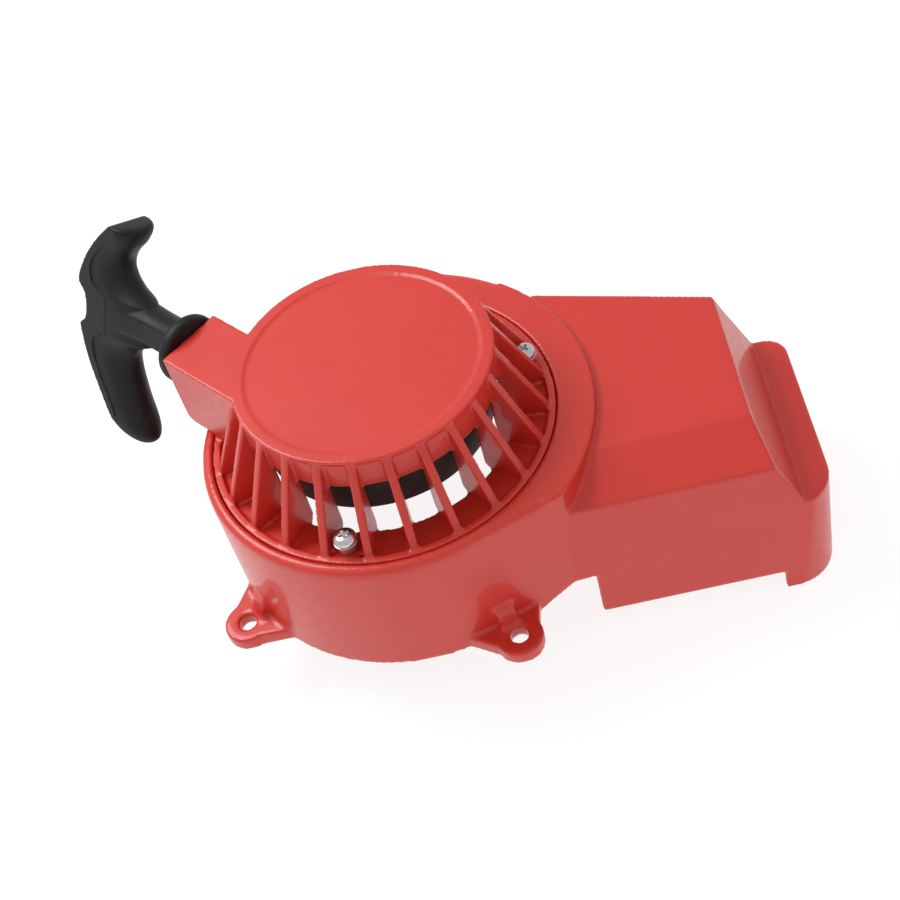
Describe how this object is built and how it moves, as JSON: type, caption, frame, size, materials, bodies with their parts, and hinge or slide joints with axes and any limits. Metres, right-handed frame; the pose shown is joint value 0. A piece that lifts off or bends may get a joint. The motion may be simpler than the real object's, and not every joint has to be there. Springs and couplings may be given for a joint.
{
  "type": "recoil starter",
  "caption": "Recoil starter with a round finned housing, T-grip pull handle and cast fan shroud with a side duct.",
  "frame": {"origin": "on the crankshaft's axis, in the plane of the four mounting lugs' undersides", "axes": "+Z along the crankshaft, away from the engine; +X towards the cylinder, along the shroud's duct"},
  "size_m": [0.2225, 0.1418, 0.1215],
  "materials": {
    "cast_red": "gloss",
    "bare_steel": "satin",
    "spring_steel": "satin",
    "black_nylon": "matte",
    "bronze": "satin",
    "rope_cord": "matte",
    "grip_plastic": "satin"
  },
  "bodies": {
    "shroud": {"shroud_cover": "cast_red", "starter_housing": "cast_red", "housing_screws": "bare_steel", "screw_washers": "bare_steel", "rope_guide": "black_nylon", "post_shim": "bare_steel", "friction_ring": "spring_steel", "bolt_washer": "bare_steel", "centre_bolt": "bare_steel"},
    "pulley": {"rope_pulley": "black_nylon", "bearing_sleeve": "bronze", "recoil_spring": "spring_steel", "spring_cover": "bare_steel", "cover_screws": "bare_steel", "rope_winding": "rope_cord", "pawl_pins": "bare_steel"},
    "pawl_1": {"pawl_1": "spring_steel"},
    "pawl_2": {"pawl_2": "spring_steel"},
    "guide": {"pawl_guide": "bare_steel"},
    "handle": {"handle": "grip_plastic", "rope_lead": "rope_cord", "knot_washer": "bare_steel", "rope_knot": "rope_cord"}
  },
  "joints": [
    {"name": "rope_pull", "type": "slide", "parent": "shroud", "child": "handle", "axis": [-0.6652, 0.7466, 0], "range_m": [0, 0.55], "stiffness_N_per_m": 40, "springref_m": -0.3},
    {"name": "pulley_turn", "type": "hinge", "parent": "shroud", "child": "pulley", "pos_m": [0, 0, 0.06], "axis": [0, 0, 1], "range_deg": [-1440, 5]},
    {"name": "pawl_1_swing", "type": "hinge", "parent": "pulley", "child": "pawl_1", "pos_m": [0.015, 0, 0.0485], "axis": [0, 0, 1], "range_deg": [0, 26]},
    {"name": "pawl_2_swing", "type": "hinge", "parent": "pulley", "child": "pawl_2", "pos_m": [-0.015, 0, 0.0485], "axis": [0, 0, 1], "range_deg": [0, 26]},
    {"name": "guide_turn", "type": "hinge", "parent": "pulley", "child": "guide", "pos_m": [0, 0, 0.046], "axis": [0, 0, 1], "range_deg": [0, 20]}
  ],
  "couplings": [
    {"joint": "pulley_turn", "follows": "rope_pull", "rad_per_m": -45.455},
    {"joint": "pawl_1_swing", "follows": "guide_turn", "ratio": 1.3},
    {"joint": "pawl_2_swing", "follows": "guide_turn", "ratio": 1.3}
  ]
}
